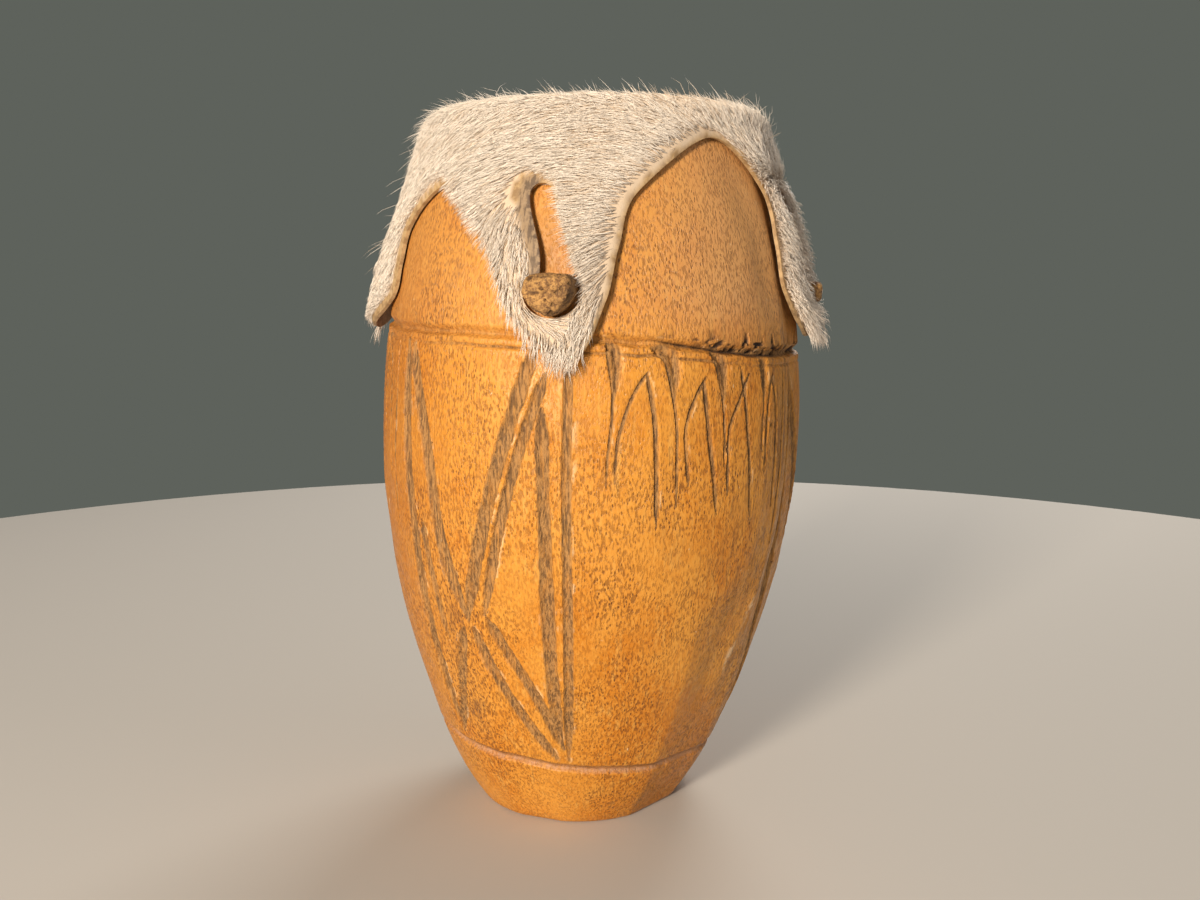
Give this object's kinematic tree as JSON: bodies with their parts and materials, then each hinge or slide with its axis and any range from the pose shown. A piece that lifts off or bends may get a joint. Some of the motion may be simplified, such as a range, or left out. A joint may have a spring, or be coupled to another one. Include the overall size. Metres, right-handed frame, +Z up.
{
  "type": "small ceremonial drum with a pegged goat-hide head",
  "caption": "Small barrel-shaped ritual drum carved from one log, hollow through its foot, with incised panels and a hair-on goat hide hooked on whittled pegs.",
  "frame": {"origin": "on the floor, under the middle of the whole outline", "axes": "+Z up through the drum to its head; -Y is the front shown in the picture; +X is to the right of it"},
  "size_m": [0.0972, 0.1001, 0.1504],
  "materials": {
    "carved_wood": "golden-brown oiled hardwood with short dark pores, satin",
    "hide_coat": "raw goat hide with its short cream hair on",
    "peg_wood": "rough, dry, brown end grain"
  },
  "bodies": {
    "root": {"drum_shell": "carved_wood", "goat_hide": "hide_coat", "peg_front": "peg_wood", "peg_right": "peg_wood", "peg_back": "peg_wood", "peg_left": "peg_wood"}
  },
  "joints": []
}
